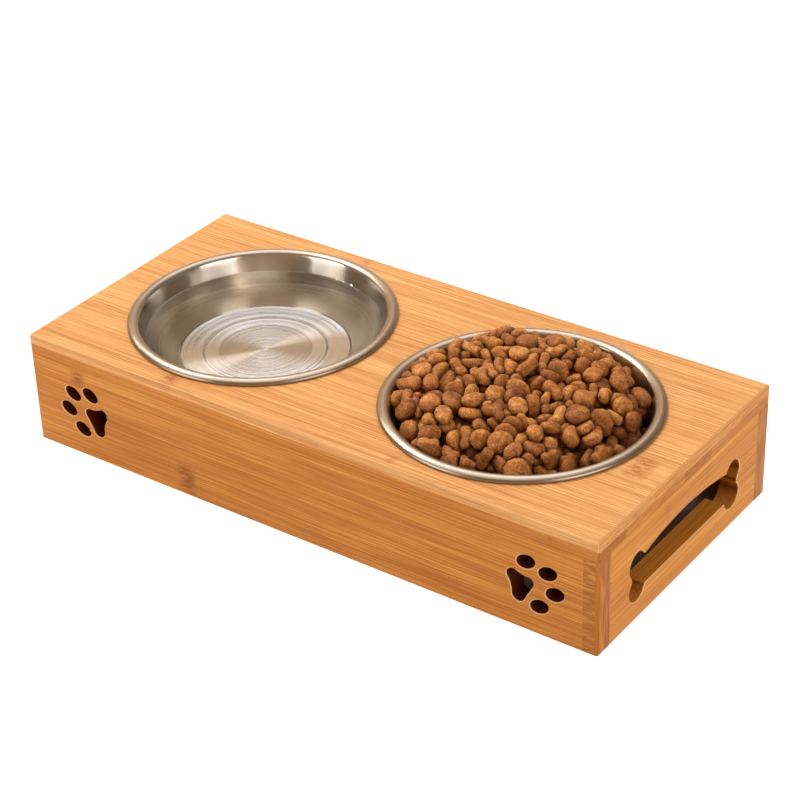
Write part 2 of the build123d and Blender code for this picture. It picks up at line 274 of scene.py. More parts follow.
bambooLook = {
    "axes": "gsd",  # what x, y and z are: g along the grain, s across the strips, d through the board
    "seed": 4.0, "stripStart": -90.5, "stripWidth": 28.5,  # mm
    "sway": 1.2, "swayScale": (0.012, 0.05), "endStretch": 0.95,
    "grain": {  # swings per mm along and across the fibres, detail, seed
        "fibres": (0.014, 1.25, 2, 3.1), "streaks": (0.0035, 0.2, 2, 9.4), "clouds": (0.008, 0.03, 1, 5.2),
        "lines": (0.0045, 0.62, 1, 23.9), "pores": (0.055, 1.7, 1, 17.7), "torn": (0.14, 0.9, 1, 31.3),
    },
    "fibres": 1.7, "streaks": 0.75, "clouds": 0.35, "strips": 0.14, "pores": 0.45, "lines": 0.5,  # strengths
    "lineEdge": 0.065, "mottle": (0.16, 0.9, 0.9), "ragged": 1.4,
    "dark": "#BA7D42", "middle": "#D29459", "light": "#E2AA6E", "pore": "#9A5F2A", "scar": "#9E5A26",
    "paintedEdgeLight": "#ECBE86", "edge": 0.3, "scars": [], "torn": [], "endBands": [],
    "cutHeight": (30.0, 27.0), "inwards": 0.35,
    "roughness": 0.45, "roughSwing": 0.22, "bump": 0.25, "fibreDepth": 0.06, "poreDepth": 0.6,
}
topLook = {**bambooLook, "scars": [(-90, -85, 6, 6, 1.0), (62, -84, 4, 5, 0.6), (-78, 86, 4, 4, 0.6),
                                   (176, -20, 8, 12, 0.9)],
           "endBands": [(1, -91, -35, "#F5E8C4"), (1, -35, 91, "#EFDCA6")]}
lowerLook = {**bambooLook, "seed": 7.0, "stripWidth": 29.5, "fibres": 2.0,
             "dark": "#A4601F", "middle": "#B8702C", "light": "#CA863C", "paintedEdgeLight": "#8A5222", "edge": 0.4,
             "scars": [(165, -86, 4, 6, 0.9)],
             "endBands": [(1, -91, -64, "#DECB76"), (1, -64, -4, "#FFF8C8"), (1, -4, 25, "#E8D494"),
                          (1, 25, 91, "#FFF8D3")]}
frontLook = {**bambooLook, "axes": "gds", "seed": 11.0, "stripStart": 0.5, "stripWidth": 20.0,
             "fibres": 2.4, "streaks": 1.0, "lines": 0.65,
             "dark": "#A05D1C", "middle": "#B8702B", "light": "#CA863C", "edge": 0.6,
             "scars": [(-157, 51, 6, 6, 0.9), (-79, 10, 8, 11, 1.0)],
             "torn": [(0, 184, 194, 0.7)],
             "cutInside": (0, 190), "faceAxis": 1, "paintedCutShade": "#7A5226", "cutSill": 0.0, "scar": "#8A4A1A",
             "endBands": [(1, -91, -78, "#FFF6C8"), (1, 78, 84.5, "#FFFFB4")]}
endLook = {**bambooLook, "axes": "dgs", "seed": 19.0, "stripStart": 0.5, "stripWidth": 20.0, "fibres": 2.2,
           "scars": [(23, 52, 5, 4, 0.5), (-21, 52, 4, 4, 0.4)], "edge": 0.6,
           "dark": "#B06818", "middle": "#C87C28", "light": "#D8923C",
           "cutInside": (1, 77), "faceAxis": 0, "paintedCutShade": "#8A5E30", "cutSill": 1.0}
woods = {
    "upper_ply": bamboo("bambooTopLacquered", topLook),
    "lower_ply": bamboo("bambooLowerPlyLacquered", lowerLook),
    "front_panel": bamboo("bambooFrontLacquered", frontLook),
    "left_end_panel": bamboo("bambooEndLacquered", endLook),
}
woods["back_panel"] = woods["front_panel"]
woods["right_end_panel"] = woods["left_end_panel"]


# dowels
print("dowels")
dowel = {"fleck": 1.11, "dark": "#B98E63", "light": "#D8B48A", "roughness": 0.7}  # flecks in mm


def turnedBeech(name):
    # Turned beech dowel: pale pinkish wood with short dark flecks, dull and unfinished
    material = newMaterial(name)
    tree = material.node_tree
    place = addNode(tree, "ShaderNodeTexCoord").outputs["Object"]
    flecks = addNode(tree, "ShaderNodeTexNoise", {
        "Vector": place, "Scale": 1 / (dowel["fleck"] * mm), "Detail": 3.0}).outputs["Fac"]
    colour = setRamp(addNode(tree, "ShaderNodeValToRGB", {0: flecks}), [
        (0.35, srgb(dowel["dark"])), (0.6, srgb(dowel["light"]))])
    shader = addNode(tree, "ShaderNodeBsdfPrincipled", {
        "Base Color": colour, "Roughness": dowel["roughness"]})
    addNode(tree, "ShaderNodeOutputMaterial", {"Surface": shader.outputs[0]})
    return material


beech = turnedBeech("beechDowel")
for node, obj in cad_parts.items():
    if node in woods or node.endswith("dowels"):
        obj.data.materials.clear()
        obj.data.materials.append(woods.get(node, beech))


# surfaces of revolution
turnedUnit = 100.0  # mm along the outline for one unit of the map named turned


def filleted(corners, radii, arcStep=0.14, runStep=2.0):
    # a line through corners (radius, height), each rounded by an arc that touches both of its runs: the arc
    # starts r x tan(turn / 2) before the corner, and its centre is r to the side. A point lies every arcStep
    # radians on arcs and every runStep mm on straight runs
    corners = np.array(corners, float)
    pieces = [corners[:1]]
    for before, here, after, r in zip(corners[:-2], corners[1:-1], corners[2:], radii):
        a, b = (here - before) / np.hypot(*(here - before)), (after - here) / np.hypot(*(after - here))
        side = np.sign(a[0] * b[1] - a[1] * b[0])
        turn = np.arccos(np.clip(a @ b, -1, 1))
        start = here - a * r * np.tan(turn / 2)
        centre = start + side * r * np.array([-a[1], a[0]])
        angles = np.linspace(0, turn, max(3, int(turn / arcStep) + 2)) * side
        spoke = start - centre
        arc = centre + np.stack([spoke[0] * np.cos(angles) - spoke[1] * np.sin(angles),
                                 spoke[0] * np.sin(angles) + spoke[1] * np.cos(angles)], 1)
        pieces.append(arc)
    pieces.append(corners[-1:])
    line = [pieces[0]]
    for a, b in zip(pieces[:-1], pieces[1:]):
        count = int(np.hypot(*(b[0] - a[-1])) / runStep)
        line.append(a[-1] + (b[0] - a[-1]) * np.linspace(0, 1, count + 2)[1:-1, None])
        line.append(b)
    return np.concatenate(line)


def sideways(line):
    # unit vector to the left of a line at each of its points: its direction turned by a quarter
    along = np.gradient(line, axis=0)
    along /= np.hypot(along[:, 0], along[:, 1])[:, None]
    return np.stack([-along[:, 1], along[:, 0]], 1)


def ringFaces(rows, around):
    # four-sided faces between rings of points, then triangles from the first ring to a pole and from the last
    # ring to a second pole, which are the two points after the rings
    i, j = np.meshgrid(np.arange(rows - 1), np.arange(around), indexing="ij")
    k = (j + 1) % around
    quads = np.stack([i * around + j, i * around + k, (i + 1) * around + k, (i + 1) * around + j], -1)
    j, k, last, pole = j[0], k[0], (rows - 1) * around, np.full(around, rows * around)
    caps = np.concatenate([np.stack([k, j, pole], 1), np.stack([last + j, last + k, pole + 1], 1)])
    return quads.reshape(-1, 4), caps


def revolved(name, outline, centre, segments):
    # outline of (radius, height) from one pole to the other; point = centre + (r cos a, r sin a, z)
    outline = np.asarray(outline, float)
    angles = np.arange(segments) * 2 * pi / segments
    ring = outline[1:-1]
    points = np.stack([centre[0] + ring[:, :1] * np.cos(angles), centre[1] + ring[:, :1] * np.sin(angles),
                       np.repeat(ring[:, 1:], segments, 1)], 2).reshape(-1, 3)
    poles = [[centre[0], centre[1], outline[0, 1]], [centre[0], centre[1], outline[-1, 1]]]
    vertices = np.concatenate([points, poles]) * mm
    rows, count = len(ring), len(points)
    quads, caps = ringFaces(rows, segments)
    faces = quads.tolist() + caps.tolist()
    mesh = bpy.data.meshes.new(name)
    mesh.from_pydata(vertices.tolist(), [], faces)
    # own map: how far along the outline, and the turn round the axis
    run = np.concatenate([[0], np.cumsum(np.hypot(*np.diff(outline, axis=0).T))])
    corner = np.empty(len(mesh.loops), np.int64)
    mesh.loops.foreach_get("vertex_index", corner)
    isPole = corner >= count
    row = np.where(isPole, 0, corner // segments)
    u = np.where(corner == count, run[0], np.where(corner == count + 1, run[-1], run[1:-1][row]))
    face = np.repeat(np.arange(len(mesh.polygons)), [len(f) for f in faces])
    turn = np.where(isPole, 0, corner % segments) / segments
    start = np.concatenate([np.tile(np.arange(segments), rows - 1), np.arange(segments), np.arange(segments)])
    turn = np.where(isPole, (start[face] + 0.5) / segments, turn)
    turn = np.where((start[face] == segments - 1) & (turn == 0) & ~isPole, 1.0, turn)
    layer = mesh.uv_layers.new(name="turned")
    layer.data.foreach_set("uv", np.stack([u / turnedUnit, turn], 1).astype(np.float32).ravel())
    mesh.polygons.foreach_set("use_smooth", np.ones(len(mesh.polygons), bool))
    return addObject(name, mesh)


# steel bowls
print("steel bowls")
bowl = {
    "left": (-90.6, -0.4), "right": (89.0, -0.4),  # centres on the top board; all sizes in mm
    "steel": 0.8, "topBoard": 70.7, "rimHeight": 3.2, "rimRadius": 79.4, "depth": 39.6,
    "shoulderDrop": 1.1, "shoulderBend": 2.6, "edgeDrop": 1.2, "edgeBend": 1.4, "lipBend": 0.3, "crown": 0.45,
    "crownBend": 3.6, "rimInner": 72.9, "rimCrest": 75.9, "rimFoot": 76.6, "wallFoot": 61.3,
    "flare": 38.0, "wallBend": 50.0,  # the wall leaves the floor at this angle and bends up with this radius
    "floor": 50.0, "floorBend": 1.5, "ring": 37.0, "ringRise": 0.4, "pressRun": 1.2, "pressBend": 0.8,
    "coarse": 27.0, "floorEnd": 51.0, "wallEnd": 72.7,  # radii where one finish meets the next
    "tip": 0.7, "segments": 192,
}
half = bowl["steel"] / 2  # half the sheet's thickness
crest = bowl["topBoard"] + bowl["rimHeight"] - half
floorLine = bowl["topBoard"] + bowl["rimHeight"] - bowl["depth"] - half
ringLine = floorLine - bowl["ringRise"]
shoulderLine = crest - bowl["shoulderDrop"]
rimLine = bowl["rimRadius"] - half
wallSlope = (bowl["rimInner"] - bowl["wallFoot"]) / (shoulderLine - ringLine)
# where the flare's line meets the wall's: floor radius + run = wall foot + slope x run x tan(flare)
flareRise = tan(radians(bowl["flare"]))
bend = bowl["floor"] + (bowl["wallFoot"] - bowl["floor"]) / (1 - wallSlope * flareRise)
midLine = filleted(
    [(0, floorLine), (bowl["ring"] - bowl["pressRun"], floorLine), (bowl["ring"], ringLine),
     (bowl["floor"], ringLine), (bend, ringLine + (bend - bowl["floor"]) * flareRise),
     (bowl["rimInner"], shoulderLine), (bowl["rimCrest"], crest + bowl["crown"]),
     (rimLine, crest - bowl["edgeDrop"]),
     (rimLine, bowl["topBoard"] + half), (bowl["rimFoot"], bowl["topBoard"] + half)],
    [bowl["pressBend"], bowl["pressBend"], bowl["floorBend"], bowl["wallBend"], bowl["shoulderBend"],
     bowl["crownBend"], bowl["edgeBend"], bowl["lipBend"]])

onFloor = np.argmax(midLine[:, 0] > bowl["floor"])
wallRows = slice(int(onFloor), int(np.argmax(midLine[:, 0] >= bowl["wallEnd"])))


def steelBowl(name, centre):
    # sheet of one thickness: outline = middle line + half the sheet to its left, then back on its right, with
    # a blunt tip at the rolled edge
    left = sideways(midLine)
    inside, outside = midLine + left * half, midLine - left * half
    ahead = (midLine[-1:] - midLine[-2:-1]) / np.hypot(*(midLine[-1] - midLine[-2]))
    tip = midLine[-1:] + ahead * half * bowl["tip"]
    outline = np.concatenate([inside, tip, outside[::-1]])
    outline[[0, -1], 0] = 0
    return revolved(name, outline[::-1], centre, bowl["segments"])


def steel(name, look):
    # Stainless steel sheet, spun and polished with fine belts: it mirrors its surroundings smeared across the
    # turning marks, warm grey, with faint rings. Real belt marks are a few hundredths of a millimetre apart.
    # They are too fine to show, so they are drawn 0.5 to 1 mm apart, and their own smear is left to the
    # anisotropy
    material = newMaterial(name)
    tree = material.node_tree
    uv = addNode(tree, "ShaderNodeUVMap", uv_map="turned").outputs[0]
    run = addNode(tree, "ShaderNodeSeparateXYZ", {0: uv}).outputs[0]
    runMm = addNode(tree, "ShaderNodeMath", {0: run, 1: turnedUnit}, operation="MULTIPLY").outputs[0]
    fine, broad = [addNode(tree, "ShaderNodeTexNoise", {
        "W": addNode(tree, "ShaderNodeMath", {0: runMm, 1: perMm}, operation="MULTIPLY").outputs[0],
        "Scale": 1.0, "Detail": detail}, noise_dimensions="1D").outputs["Fac"]
        for perMm, detail in ((look["marksPerMm"], 2.0), (look["ringsPerMm"], 1.0))]
    place = addNode(tree, "ShaderNodeTexCoord").outputs["Object"]
    smudge = addNode(tree, "ShaderNodeTexNoise", {
        "Vector": place, "Scale": look["smudgesPerM"], "Detail": 2.0}).outputs["Fac"]
    colour = setRamp(addNode(tree, "ShaderNodeValToRGB", {0: smudge}), [
        (0.3, srgb(look["dark"])), (0.7, srgb(look["light"]))])
    roughness = addNode(tree, "ShaderNodeMath", {0: fine, 1: look["roughSwing"], 2: look["roughness"]},
                        operation="MULTIPLY_ADD").outputs[0]
    if "satin" in look:
        # duller towards the floor, where the belt doesn't reach, and darker towards the floor:
        # roughness + extra x share of the way down from high to low, in mm above the floor
        low, high, extra, shade = look["satin"]
        height = addNode(tree, "ShaderNodeSeparateXYZ", {0: place}).outputs[2]
        share = addNode(tree, "ShaderNodeMapRange", {
            "Value": height, "From Min": high * mm, "From Max": low * mm}).outputs[0]
        roughness = addNode(tree, "ShaderNodeMath", {0: share, 1: extra, 2: roughness},
                            operation="MULTIPLY_ADD").outputs[0]
        colour = addNode(tree, "ShaderNodeMix", {0: share, 6: colour, 7: srgb(shade)},
                         data_type="RGBA", blend_type="MULTIPLY").outputs[2]
    relief = addNode(tree, "ShaderNodeMath", {0: broad, 1: look["ringWeight"], 2: fine},
                     operation="MULTIPLY_ADD").outputs[0]
    bump = addNode(tree, "ShaderNodeBump", {"Height": relief, "Strength": look["bump"],
                                            "Distance": look["markDepth"] * mm}).outputs[0]
    grooves = addNode(tree, "ShaderNodeTangent", direction_type="UV_MAP", uv_map="turned").outputs[0]
    shader = addNode(tree, "ShaderNodeBsdfPrincipled", {
        "Base Color": colour, "Metallic": 1.0, "Roughness": roughness, "Normal": bump,
        "Anisotropic": look["anisotropy"], "Tangent": grooves})
    addNode(tree, "ShaderNodeOutputMaterial", {"Surface": shader.outputs[0]})
    return material


steelLook = {"marksPerMm": 2.0, "ringsPerMm": 0.35, "ringWeight": 1.5, "markDepth": 0.02, "roughSwing": 0.1,
             "smudgesPerM": 30.0}
turnedLook = {**steelLook, "marksPerMm": 0.9, "ringsPerMm": 0.3, "bump": 1.0, "markDepth": 0.06,
    "roughSwing": 0.04, "anisotropy": 1.0}
wallSteel = steel("stainlessSteelPolished", {
    **steelLook, "bump": 0.25, "roughness": 0.12, "roughSwing": 0.12, "anisotropy": 0.75,
    "satin": (40, 60, 0.12, "#F4ECDC"), "dark": "#C1B8AC", "light": "#D0C9BE"})
floorSteel = steel("stainlessSteelTurned", {
    **turnedLook, "ringWeight": 2.5, "roughness": 0.13, "dark": "#BDBAB5", "light": "#CCC9C5"})
middleSteel = steel("stainlessSteelTurnedCoarse", {
    **turnedLook, "roughness": 0.14, "dark": "#A8A096", "light": "#BCB6AE"})
# painted shade: the rolled rim is drawn in a darker, warmer copy of the wall's steel
rimSteel = steel("stainlessSteelRolledSatinShaded", {
    **steelLook, "ringsPerMm": 0.5, "ringWeight": 1.0, "bump": 0.1, "roughness": 0.24, "anisotropy": 0.4,
    "dark": "#988A78", "light": "#A39683"})
# painted shade: the bowls' outsides, in the dark hollow of the stand, get a much darker copy of the steel
outerSteel = steel("stainlessSteelBrushedPaintedShade", {
    **steelLook, "marksPerMm": 2.2, "bump": 0.4, "roughness": 0.34, "anisotropy": 0.5,
    "dark": "#625A50", "light": "#6E665C"})
for side in ("left", "right"):
    x, y = bowl[side]
    piece = steelBowl(f"{side}BowlSpun", (x, y))
    for material in (wallSteel, floorSteel, middleSteel, rimSteel, outerSteel):  # slots 0 to 4
        piece.data.materials.append(material)
    spots = np.empty(len(piece.data.polygons) * 3)
    piece.data.polygons.foreach_get("center", spots)
    spots = spots.reshape(-1, 3) / mm
    fromAxis = np.hypot(spots[:, 0] - x, spots[:, 1] - y)
    isOutside = np.arange(len(spots)) < bowl["segments"] * (len(midLine) - 2)
    finish = np.select([isOutside, fromAxis < bowl["coarse"], fromAxis < bowl["floorEnd"],
                        fromAxis > bowl["rimInner"]], [4, 2, 1, 3], 0)
    piece.data.polygons.foreach_set("material_index", finish.astype(np.int32))
    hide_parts(f"{side}_bowl")
    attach(piece, f"{side}_bowl")


# water
print("water")
water = {"level": 62.4, "creep": 0.8, "creepRun": 3.0, "bite": 0.1, "segments": 128, "tint": "#FBFDFD"}  # mm


def stillWater(name):
    # level disc that climbs the wall at its edge:
    # height = level + creep x exp(-(distance to the wall) / (run / 3)).
    # Its sides and bottom run inside the steel sheet, by bite, so no gap shows
    edge = water["level"] + water["creep"]
    wallAt = np.interp(edge, midLine[wallRows, 1], midLine[wallRows, 0]) - water["bite"]
    toWall = np.concatenate([np.linspace(wallAt, 4, 24), np.linspace(3.6, 0, 16)])  # mm, finer at the end
    level = water["level"] + water["creep"] * np.exp(-toWall * 3 / water["creepRun"])
    sheet = midLine + sideways(midLine) * water["bite"]
    below = sheet[:wallRows.stop][sheet[:wallRows.stop, 1] < level[-1] - 0.4]
    outline = np.concatenate([np.stack([wallAt - toWall, level], 1), below[::-1]])
    outline[[0, -1], 0] = 0
    return revolved(name, outline[::-1], bowl["left"], water["segments"])


def clearWater(name):
    # Still tap water: colourless, it bends what lies under it and mirrors the sky faintly
    material = newMaterial(name)
    tree = material.node_tree
    shader = addNode(tree, "ShaderNodeBsdfPrincipled", {
        "Base Color": srgb(water["tint"]), "Roughness": 0.0, "IOR": 1.333, "Transmission Weight": 1.0})
    addNode(tree, "ShaderNodeOutputMaterial", {"Surface": shader.outputs[0]})
    return material


pool = stillWater("waterStill")
pool.data.materials.append(clearWater("waterClear"))
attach(pool, "left_bowl")
pool.visible_shadow = False  # clear water darkens nothing under it, so the lamps reach the steel straight


# kibble
print("kibble")
kibble = {
    "count": 660, "seed": 8, "steps": 300, "around": 12, "aroundLobed": 18,
    "kinds": {  # share of the pieces; half sizes in mm; waves of the outline
        "disc": (0.36, 6.5, 6.5, {}),
        "oval": (0.24, 7.0, 5.2, {}),
        "trefoil": (0.22, 6.2, 6.2, {3: 0.36}),
        "bone": (0.18, 6.2, 5.5, {2: 0.12, 4: 0.24}),
    },
    "rings": [(0.86, 0.9), (1.0, 0.42), (1.0, -0.42), (0.86, -0.9)], "pole": 1.02,  # of outline and height
    "size": (0.84, 1.14), "halfThick": (2.6, 3.3), "dent": 0.03, "swell": 0.06,
    "drawn": 0.95,  # drawn this much smaller than the room they take
    # painted shade: each piece is darker near the next piece, in place of the shade in the creases between
    # them
    "paintedShadeFade": 2.0, "paintedShadeReach": 18.0,  # darker within so many mm of the next piece, which is no farther off
    "edge": 74.6, "slope": 38.0,  # the heap rises from the wall at this angle
    "lowSide": 40.0, "lowBy": 4.5,  # less full on this side, in degrees and mm
    "top": 90.2, "topReach": 32.0, "topTurn": 122.0, "crown": 340.0,  # off the middle, on this radius
    "uneven": 1.2,  # pieces stop up to this much under the limit
    "wallGap": 0.25, "floorGap": 0.3, "slack": 1.15,
    "ball": 0.95, "ballRoom": 1.05,  # a ball's radius against the half thickness, and its room at the wall
    "startBox": (136, 136, 54), "startLift": 3, "startWall": 5.5,  # where pieces start, and their side room
    "touch": 16.0, "renew": 8,  # nearer pairs are pushed apart, and looked up again every so many steps
    "push": 1.3, "sink": 0.5,  # sink is the share of the way back under the heap's limit in one step
    "crumbs": 850.0, "patches": 220.0, "pits": 900.0,  # for each metre
    # the darkest colour here is painted shade in the creases between pieces
    "dark": "#663207", "middle": "#A86122", "light": "#DE9A4C", "paintedShade": "#4A2006", "pit": "#5A2E14",
}


def outlineOf(kind, angle):
    # ellipse radius x (1 + the sum of depth x cos(waves x angle))
    _, a, b, waves = kibble["kinds"][kind]
    radius = 1 / np.sqrt((np.cos(angle) / a) ** 2 + (np.sin(angle) / b) ** 2)
    return radius * (1 + sum(depth * np.cos(n * angle) for n, depth in waves.items()))


def heapTop(x, y):
    # height of the heap's upper limit, the lower of a cone and a ball:
    # edge - low x max(cos(turn), 0) + (wall radius - r) x tan(slope),
    # and top - distance^2 / (2 x crown radius)
    low = kibble["lowBy"] * np.maximum(np.cos(np.arctan2(y, x) - radians(kibble["lowSide"])), 0)
    cone = kibble["edge"] - low + (
        wallRadius(kibble["edge"]) - np.hypot(x, y)) * tan(radians(kibble["slope"]))
    topX = kibble["topReach"] * cos(radians(kibble["topTurn"]))
    topY = kibble["topReach"] * sin(radians(kibble["topTurn"]))
    return np.minimum(cone, kibble["top"] - ((x - topX) ** 2 + (y - topY) ** 2) / (2 * kibble["crown"]))


def wallRadius(z):
    # inner face of the bowl's wall at a height: the middle line's radius less half the sheet, measured level,
    # and a little more for the flare
    rows = midLine[wallRows]
    return np.interp(z, rows[:, 1], rows[:, 0] - half * sqrt(1 + wallSlope ** 2) * kibble["slack"])


floorTop = floorLine + half + kibble["floorGap"]


def pourKibble(rng):
    # each piece is seven balls held in its outline, one in the middle. Two that overlap are pushed apart,
    # half the overlap each, and a ball moves by the mean of its pushes x push. The piece follows its balls as
    # a rigid body: its turn is the rotation nearest to how they have moved
    balls = 7
    names = list(kibble["kinds"])
    shares = np.array([kibble["kinds"][n][0] for n in names])
    count = kibble["count"]
    kind = rng.choice(len(names), count, p=shares / shares.sum())
    size = rng.uniform(*kibble["size"], count)
    thick = rng.uniform(*kibble["halfThick"], count) * (0.5 + 0.5 * size)
    sixth = np.arange(6) * pi / 3
    reach = np.stack([outlineOf(n, sixth) for n in names])[kind] * size[:, None]
    ball = kibble["ball"] * thick
    local = np.zeros((count, balls, 3))
    local[:, 1:, 0] = np.maximum(reach - ball[:, None], 0) * np.cos(sixth)
    local[:, 1:, 1] = np.maximum(reach - ball[:, None], 0) * np.sin(sixth)
    local -= local.mean(1, keepdims=True)
    # start anywhere in the bowl and the heap
    wide, long, high = kibble["startBox"]
    lift = kibble["startLift"]
    tries = rng.random((count * 5, 3)) * (wide, long, high) - (wide / 2, long / 2, 0) + (
        0, 0, floorTop + lift)
    r = np.hypot(tries[:, 0], tries[:, 1])
    fits = (r < wallRadius(tries[:, 2]) - kibble["startWall"]) & (
        tries[:, 2] < heapTop(tries[:, 0], tries[:, 1]) - lift)
    middle = tries[fits][:count]
    turn = np.linalg.qr(rng.normal(size=(count, 3, 3)))[0]
    turn *= np.sign(np.linalg.det(turn))[:, None, None]
    lower = rng.uniform(0, kibble["uneven"], count)
    for step in range(kibble["steps"]):
        if step % kibble["renew"] == 0:
            gap = ((middle[:, None] - middle[None]) ** 2).sum(-1)
            one, two = np.nonzero(np.triu(gap < kibble["touch"] ** 2, 1))
        p = middle[:, None] + np.einsum("nij,nkj->nki", turn, local)
        apart = p[one][:, :, None] - p[two][:, None]
        distance = np.sqrt((apart ** 2).sum(-1))
        over = (ball[one] + ball[two])[:, None, None] - distance
        k, i, j = np.nonzero(over > 0)
        push = apart[k, i, j] / np.maximum(distance[k, i, j], 1e-6)[:, None] * over[k, i, j][:, None] * 0.5
        a, b = one[k] * balls + i, two[k] * balls + j
        hits = np.bincount(a, minlength=count * balls) + np.bincount(b, minlength=count * balls)
        for axis in range(3):
            shove = np.bincount(a, push[:, axis], count * balls) - np.bincount(
                b, push[:, axis], count * balls)
            p[..., axis] += (shove / np.maximum(hits, 1) * kibble["push"]).reshape(count, balls)
        r = np.hypot(p[..., 0], p[..., 1])
        out = np.maximum(
            r - wallRadius(p[..., 2]) + kibble["wallGap"] + ball[:, None] * kibble["ballRoom"], 0)
        p[..., :2] -= p[..., :2] / np.maximum(r, 1e-6)[..., None] * out[..., None]
        p[..., 2] = np.maximum(p[..., 2], floorTop + ball[:, None])
        above = np.maximum(p[..., 2] - heapTop(p[..., 0], p[..., 1]) + (ball + lower)[:, None], 0)
        p[..., 2] -= above * kibble["sink"]
        middle = p.mean(1)
        u, _, v = np.linalg.svd(np.einsum("nki,nkj->nij", p - middle[:, None], local))
        fix = np.ones((count, 3))
        fix[:, 2] = np.sign(np.linalg.det(u @ v))
        turn = (u * fix[:, None]) @ v
    return names, kind, size, thick, middle, turn, p, ball


def kibbleMesh(name):
    # one piece is a pillow: point = (outline x share x (cos a, sin a), half thickness x height) over rings of
    # (share, height), dented by a few slow waves of its own
    rng = np.random.default_rng(kibble["seed"])
    names, kind, size, thick, middle, turn, p, ball = pourKibble(rng)
    rings = np.array(kibble["rings"])
    allPoints, allFaces, allTones, allShadeClearance, base = [], [], [], [], 0
    for number, kindName in enumerate(names):
        mine = np.nonzero(kind == number)[0]
        around = kibble["aroundLobed" if kibble["kinds"][kindName][3] else "around"]
        angle = np.arange(around) * 2 * pi / around
        reach = outlineOf(kindName, angle)
        shape = np.zeros((len(mine), len(rings), around, 3))
        each = (len(mine), 1, 1)
        wave = sum(rng.normal(0, kibble["dent"], each) * np.cos(n * angle + rng.uniform(0, 6.3, each))
                   for n in (1, 2, 3, 5))
        lift = sum(rng.normal(0, kibble["swell"], each) * np.cos(n * angle + rng.uniform(0, 6.3, each))
                   for n in (1, 2, 3))
        radius = reach * rings[:, :1] * (1 + wave) * size[mine][:, None, None]
        shape[..., 0] = radius * np.cos(angle)
        shape[..., 1] = radius * np.sin(angle)
        shape[..., 2] = rings[:, 1:] * thick[mine][:, None, None] * (1 + lift)
        ends = np.zeros((len(mine), 2, 3))
        ends[:, 0, 2], ends[:, 1, 2] = thick[mine] * kibble["pole"], -thick[mine] * kibble["pole"]
        local = np.concatenate([shape.reshape(len(mine), -1, 3), ends], 1)
        world = np.einsum("nij,nkj->nki", turn[mine], local * kibble["drawn"]) + middle[mine][:, None]
        # corners that stand out past a piece's balls are pressed flat against the bowl
        r = np.maximum(np.hypot(world[..., 0], world[..., 1]), 1e-6)
        world[..., :2] *= np.minimum(1, (wallRadius(world[..., 2]) - kibble["wallGap"]) / r)[..., None]
        world[..., 2] = np.maximum(world[..., 2], floorTop)
        # how clear a point is of other pieces, for the painted shade between them: its distance to their
        # nearest ball divided by the fade distance, up to 1
        shadeClearance = np.ones(world.shape[:2])
        for n, one in enumerate(mine):
            near = np.nonzero(((middle - middle[one]) ** 2).sum(-1) < kibble["paintedShadeReach"] ** 2)[0]
            near = near[near != one]
            if len(near):
                away = np.sqrt(((world[n][:, None, None] - p[near]) ** 2).sum(-1)) - ball[near][:, None]
                shadeClearance[n] = np.clip(away.min((1, 2)) / kibble["paintedShadeFade"], 0, 1)
        # the rings run from top to bottom, so the faces are turned round to point outwards
        quads, caps = ringFaces(len(rings), around)
        perPiece = len(rings) * around + 2
        shift = base + np.arange(len(mine))[:, None, None] * perPiece
        allFaces += (quads[:, [0, 3, 2, 1]] + shift).reshape(-1, 4).tolist()
        allFaces += (caps[:, [1, 0, 2]] + shift).reshape(-1, 3).tolist()
        allPoints.append(world.reshape(-1, 3))
        allTones.append(np.repeat(rng.random(len(mine)), perPiece))
        allShadeClearance.append(shadeClearance.ravel())
        base += len(mine) * perPiece
    points = np.concatenate(allPoints) + (*bowl["right"], 0)
    mesh = bpy.data.meshes.new(name)
    mesh.from_pydata((points * mm).tolist(), [], allFaces)
    for layer, values in (("tone", allTones), ("shadeClearance", allShadeClearance)):
        mesh.attributes.new(layer, "FLOAT", "POINT").data.foreach_set(
            "value", np.concatenate(values).astype(np.float32))
    mesh.polygons.foreach_set("use_smooth", np.ones(len(mesh.polygons), bool))
    return addObject(name, mesh)


